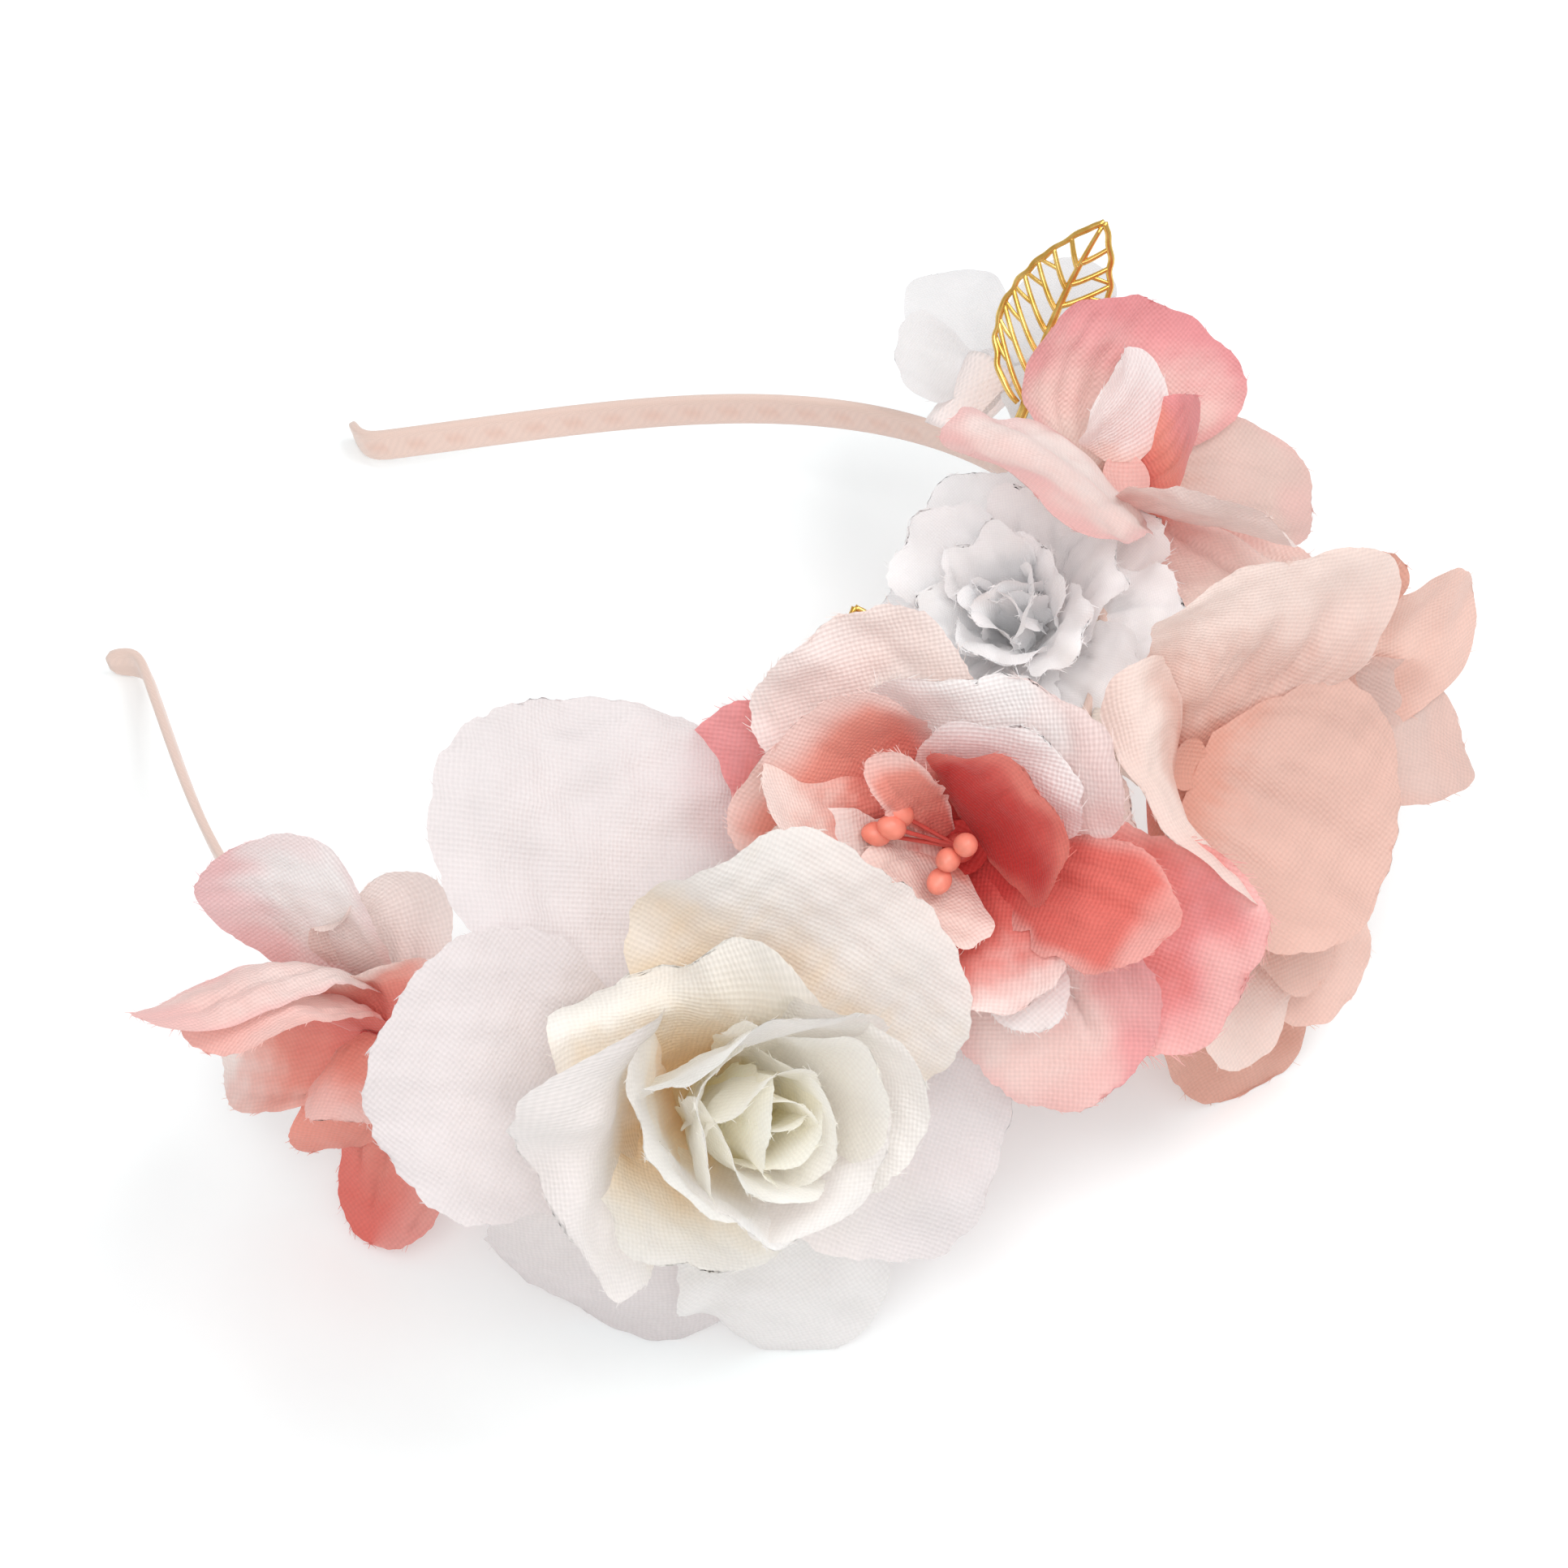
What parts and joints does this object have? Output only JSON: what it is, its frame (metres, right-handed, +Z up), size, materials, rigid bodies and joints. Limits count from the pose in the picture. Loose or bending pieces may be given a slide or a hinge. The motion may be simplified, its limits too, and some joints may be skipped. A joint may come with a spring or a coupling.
{
  "type": "flower headband",
  "caption": "Slim satin-wrapped U-shaped headband with large cloth blooms clustered along its crown and one side, and pierced gold leaves between them.",
  "frame": {"origin": "middle of the plan at floor level, as the headband lies on a table", "axes": "+Z up as it lies, -Y towards the crown, +Y towards the two tips, +X towards the arm with the peach and blush blooms"},
  "size_m": [0.1798, 0.1692, 0.0864],
  "materials": {
    "band_satin": "satin ribbon wrap",
    "backing": "plain felt",
    "rose_cloth": "open plain weave, soft edges",
    "pink_cloth": "printed plain weave",
    "coral_cloth": "printed plain weave",
    "ruffle_cloth": "sheer gathered weave",
    "peach_cloth": "satin weave",
    "blush_cloth": "printed plain weave",
    "white_cloth": "plain weave",
    "gold": "polished gold plate",
    "stamen": "pearlescent"
  },
  "bodies": {
    "root": {"band": "band_satin", "rose_base": "backing", "rose_outer_petals": "rose_cloth", "rose_middle_petals": "rose_cloth", "rose_inner_petals": "rose_cloth", "rose_heart": "rose_cloth", "pink_base": "backing", "pink_outer_petals": "pink_cloth", "pink_middle_petals": "pink_cloth", "pink_inner_petals": "pink_cloth", "coral_base": "backing", "coral_outer_petals": "coral_cloth", "coral_middle_petals": "coral_cloth", "coral_inner_petals": "coral_cloth", "ruffle_base": "backing", "ruffle_outer_petals": "ruffle_cloth", "ruffle_middle_petals": "ruffle_cloth", "ruffle_inner_petals": "ruffle_cloth", "peach_base": "backing", "peach_outer_petals": "peach_cloth", "peach_middle_petals": "peach_cloth", "peach_inner_petals": "peach_cloth", "blush_base": "backing", "blush_outer_petals": "blush_cloth", "blush_inner_petals": "blush_cloth", "white_base": "backing", "white_petals": "white_cloth", "coral_stamens": "stamen", "gold_leaf_back": "gold", "gold_leaf_front": "gold"}
  },
  "joints": []
}
